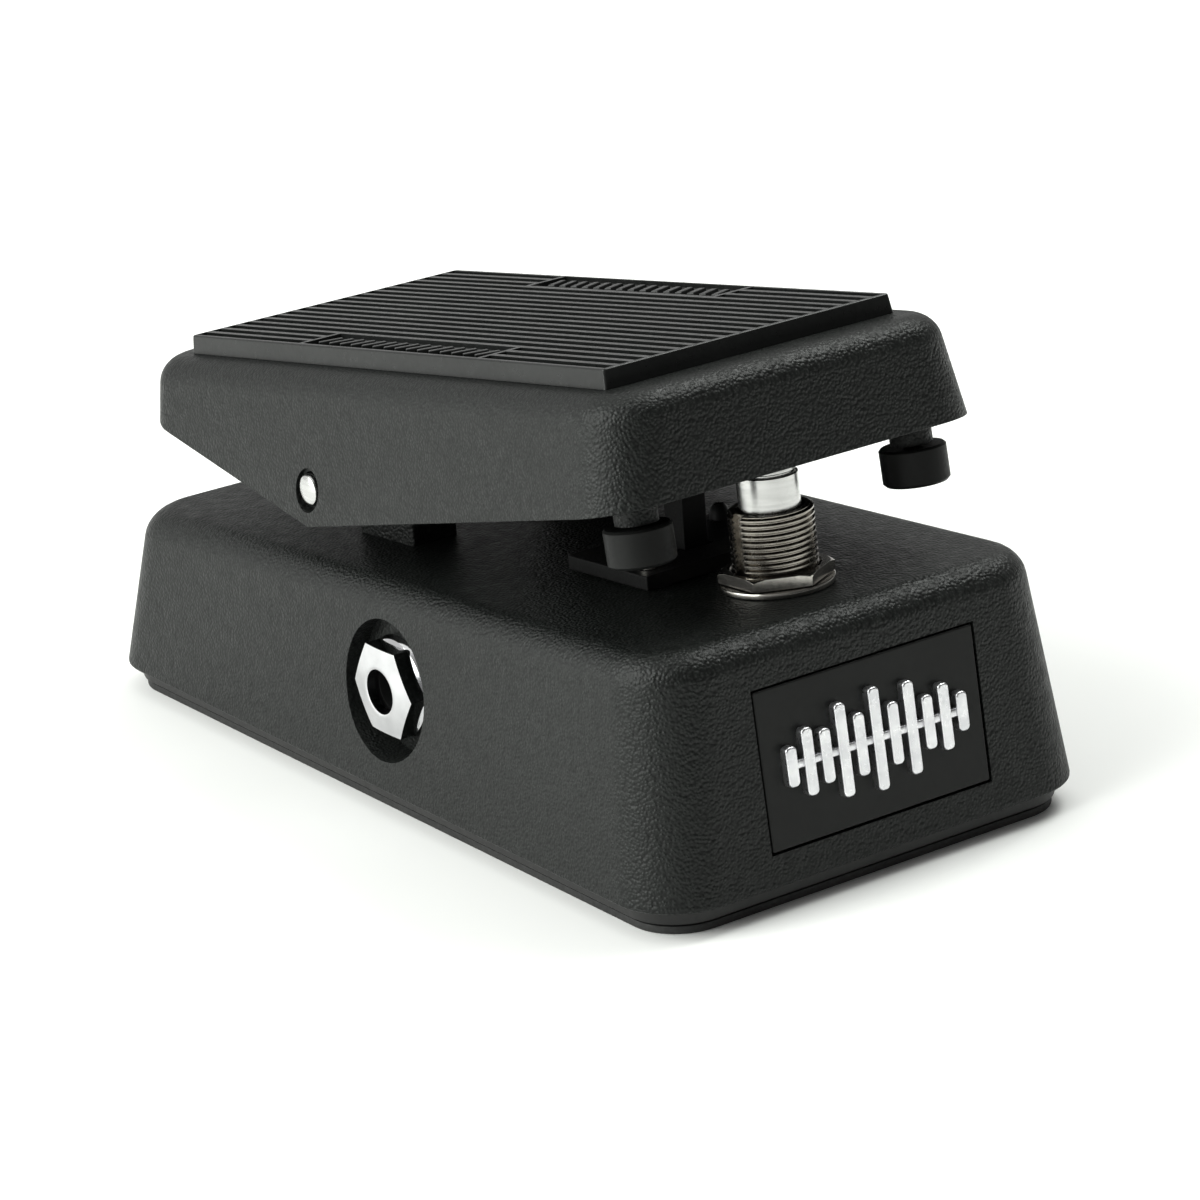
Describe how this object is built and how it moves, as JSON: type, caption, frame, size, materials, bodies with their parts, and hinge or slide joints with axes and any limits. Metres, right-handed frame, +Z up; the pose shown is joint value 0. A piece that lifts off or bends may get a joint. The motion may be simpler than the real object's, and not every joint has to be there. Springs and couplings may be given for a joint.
{
  "type": "guitar wah pedal",
  "caption": "Compact rocker pedal for guitar: ribbed treadle on a cross axle, toe footswitch, side jack sockets, wedge-topped base.",
  "frame": {"origin": "bottom centre of the base, on the surface the pedal stands on", "axes": "+Z up, +Y towards the heel end, the toe end with the name plate at -Y, the input jack at -X"},
  "size_m": [0.075, 0.1471, 0.0719],
  "materials": {
    "black_coating": "matte",
    "plate_paint": "satin",
    "rubber": "matte",
    "name_black": "satin",
    "chrome": "polished",
    "black_plastic": "satin",
    "nylon": "satin",
    "nickel": "satin",
    "dark_nickel": "satin",
    "bright_steel": "satin",
    "zinc": "satin",
    "board_green": "satin",
    "ferrite": "satin",
    "can_sleeve": "satin",
    "film_red": "gloss",
    "switch_blue": "satin"
  },
  "bodies": {
    "base": {"base_pad": "rubber", "base_plate": "plate_paint", "base_plate_screw_1": "zinc", "base_plate_screw_2": "zinc", "base_plate_screw_3": "zinc", "base_plate_screw_4": "zinc", "board_screw_1": "zinc", "board_screw_2": "zinc", "board_screw_3": "zinc", "board_screw_4": "zinc", "circuit_board": "board_green", "electrolytic_capacitor_1": "can_sleeve", "electrolytic_capacitor_2": "can_sleeve", "film_capacitor_1": "film_red", "film_capacitor_2": "film_red", "footswitch_body": "switch_blue", "footswitch_bushing": "dark_nickel", "footswitch_nut": "nickel", "footswitch_washer": "nickel", "housing": "black_coating", "inductor": "ferrite", "input_jack_body": "black_plastic", "input_jack_contact": "nickel", "input_jack_nut": "chrome", "name_plate": "name_black", "name_plate_badge": "chrome", "output_jack_body": "black_plastic", "output_jack_contact": "nickel", "output_jack_nut": "chrome", "pivot_bush_left": "nylon", "pivot_bush_right": "nylon", "pot_body": "nickel", "pot_bracket": "zinc", "pot_bracket_screw_1": "zinc", "pot_bracket_screw_2": "zinc", "pot_nut": "nickel", "power_socket_body": "black_plastic", "power_socket_pin": "nickel", "rack_guide": "nylon", "rack_guide_screw_1": "nickel", "rack_guide_screw_2": "nickel", "voice_switch_body": "nickel"},
    "treadle": {"treadle": "black_coating", "treadle_mat": "rubber", "bumper_left": "rubber", "bumper_right": "rubber", "strike_pad": "rubber", "rack_bracket": "zinc", "rack_pin": "nickel", "rack_bracket_screw_1": "zinc", "rack_bracket_screw_2": "zinc", "pivot_axle": "bright_steel", "friction_washer_left": "bright_steel", "friction_washer_right": "bright_steel"},
    "rack": {"rack_bar": "nylon"},
    "pinion": {"pinion_gear": "nylon", "pot_shaft": "nickel"},
    "plunger": {"footswitch_plunger": "bright_steel"},
    "voice_slider": {"voice_switch_slider": "black_plastic"}
  },
  "joints": [
    {"name": "treadle_pivot", "type": "hinge", "parent": "base", "child": "treadle", "pos_m": [0, 0.0166, 0.0423], "axis": [1, 0, 0], "range_deg": [-15.5, 7]},
    {"name": "rack_slide", "type": "slide", "parent": "base", "child": "rack", "axis": [0, 0, 1], "range_m": [-0.006, 0.0129]},
    {"name": "pinion_turn", "type": "hinge", "parent": "base", "child": "pinion", "pos_m": [0, -0.0225, 0.0247], "axis": [1, 0, 0], "range_deg": [-132, 62]},
    {"name": "footswitch_press", "type": "slide", "parent": "base", "child": "plunger", "axis": [0, 0.0704, 0.9975], "range_m": [-0.003, 0], "stiffness_N_per_m": 1500, "springref_m": 0.004},
    {"name": "voice_slide", "type": "slide", "parent": "base", "child": "voice_slider", "axis": [0, 1, 0], "range_m": [-0.002, 0.002]}
  ],
  "couplings": [
    {"joint": "rack_slide", "follows": "treadle_pivot", "m_per_rad": -0.0465},
    {"joint": "pinion_turn", "follows": "treadle_pivot", "ratio": 8.3036}
  ]
}
